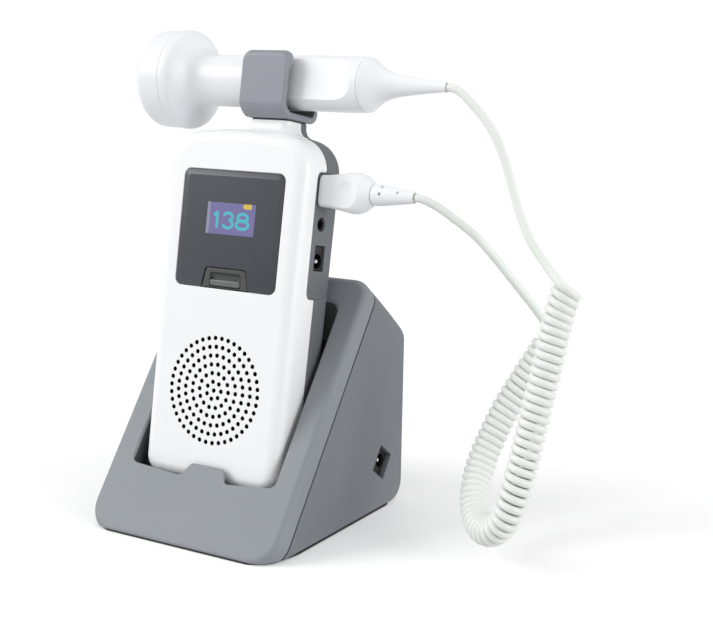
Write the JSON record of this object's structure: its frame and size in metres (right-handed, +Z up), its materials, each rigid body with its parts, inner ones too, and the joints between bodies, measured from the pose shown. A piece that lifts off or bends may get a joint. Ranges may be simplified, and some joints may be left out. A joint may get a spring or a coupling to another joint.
{
  "type": "fetal doppler with charging dock",
  "caption": "Handheld pocket fetal doppler standing in a wedge-shaped charging dock, with its probe held in a hook clip on top and a curly probe lead hanging beside it.",
  "frame": {"origin": "on the table, under the middle of the bounding box of everything but the lead and its plug", "axes": "+Z up, +X to the user's right as they face the display, +Y away from the user, towards the dock's back"},
  "size_m": [0.1815, 0.0944, 0.1861],
  "materials": {
    "white_shell": "fine satin moulded white",
    "grey_shell": "matt moulded mid grey",
    "window_gloss": "smooth gloss, dark grey printed from behind",
    "display": "lit colour display behind the window",
    "key_grey": "semi gloss dark grey",
    "black_plastic": "matt black",
    "black_rubber": "matt",
    "clip_grey": "satin mid grey",
    "probe_white": "smooth satin white",
    "boot_white": "soft moulded white",
    "cord_white": "semi gloss off-white jacket",
    "dock_grey": "fine matt light grey",
    "dock_side_grey": "fine matt mid grey",
    "steel": "plain",
    "contact_gold": "gold plated",
    "board": "green solder mask",
    "battery_wrap": "shrink wrap",
    "cone_paper": "paper cone",
    "ceramic": "fired ceramic disc"
  },
  "bodies": {
    "dock": {"dock_bezel": "dock_grey", "dock_housing": "dock_side_grey", "dock_base_plate": "black_plastic", "dock_foot_1": "black_rubber", "dock_foot_2": "black_rubber", "dock_foot_3": "black_rubber", "dock_foot_4": "black_rubber", "dock_screw_1": "steel", "dock_screw_2": "steel", "dock_screw_3": "steel", "dock_screw_4": "steel", "dock_pcb": "board", "charge_contact_block": "black_plastic", "dock_dc_jack": "black_plastic"},
    "charge_pin_left": {"charge_pin_left": "contact_gold"},
    "charge_pin_right": {"charge_pin_right": "contact_gold"},
    "unit": {"front_shell": "white_shell", "rear_shell": "grey_shell", "battery_cover": "grey_shell", "battery_cover_screw": "steel", "shell_screw_1": "steel", "shell_screw_2": "steel", "shell_screw_3": "steel", "shell_screw_4": "steel", "battery_pack": "battery_wrap", "display_window": "window_gloss", "display_module": "display", "power_switch": "black_plastic", "main_pcb": "board", "speaker_frame": "steel", "speaker_cone": "cone_paper", "probe_socket": "black_plastic", "headphone_jack": "black_plastic", "dc_jack": "black_plastic", "charge_pad_left": "contact_gold", "charge_pad_right": "contact_gold", "probe_clip": "clip_grey", "clip_screw_1": "steel", "clip_screw_2": "steel", "cord_coil": "cord_white"},
    "power_button": {"power_button": "key_grey"},
    "volume_up": {"volume_up_key": "grey_shell"},
    "volume_down": {"volume_down_key": "grey_shell"},
    "probe": {"probe_face_cap": "probe_white", "transducer_disc": "ceramic", "transducer_backing": "black_rubber", "probe_handle": "probe_white", "probe_pcb": "board", "probe_tail_boot": "boot_white", "cord_probe_lead": "cord_white"},
    "plug": {"plug_body": "boot_white", "plug_contacts": "steel", "plug_boot": "boot_white", "cord_plug_lead": "cord_white"}
  },
  "joints": [
    {"name": "unit_lift", "type": "slide", "parent": "dock", "child": "unit", "axis": [0, 0.1648, 0.9863], "range_m": [0, 0.075]},
    {"name": "probe_lift", "type": "slide", "parent": "unit", "child": "probe", "axis": [0, 0.8139, 0.5809], "range_m": [0, 0.045]},
    {"name": "plug_pull", "type": "slide", "parent": "unit", "child": "plug", "axis": [1, 0, 0], "range_m": [0, 0.012]},
    {"name": "power_press", "type": "slide", "parent": "unit", "child": "power_button", "axis": [0, 0.9863, -0.1648], "range_m": [0, 0.0008], "stiffness_N_per_m": 500, "springref_m": -0.0004},
    {"name": "volume_up_press", "type": "slide", "parent": "unit", "child": "volume_up", "axis": [1, 0, 0], "range_m": [0, 0.0006], "stiffness_N_per_m": 500, "springref_m": -0.0004},
    {"name": "volume_down_press", "type": "slide", "parent": "unit", "child": "volume_down", "axis": [1, 0, 0], "range_m": [0, 0.0006], "stiffness_N_per_m": 500, "springref_m": -0.0004},
    {"name": "charge_pin_left_sink", "type": "slide", "parent": "dock", "child": "charge_pin_left", "axis": [0, 0.1648, 0.9863], "range_m": [-0.001, 0], "stiffness_N_per_m": 300, "springref_m": 0.0008},
    {"name": "charge_pin_right_sink", "type": "slide", "parent": "dock", "child": "charge_pin_right", "axis": [0, 0.1648, 0.9863], "range_m": [-0.001, 0], "stiffness_N_per_m": 300, "springref_m": 0.0008}
  ]
}
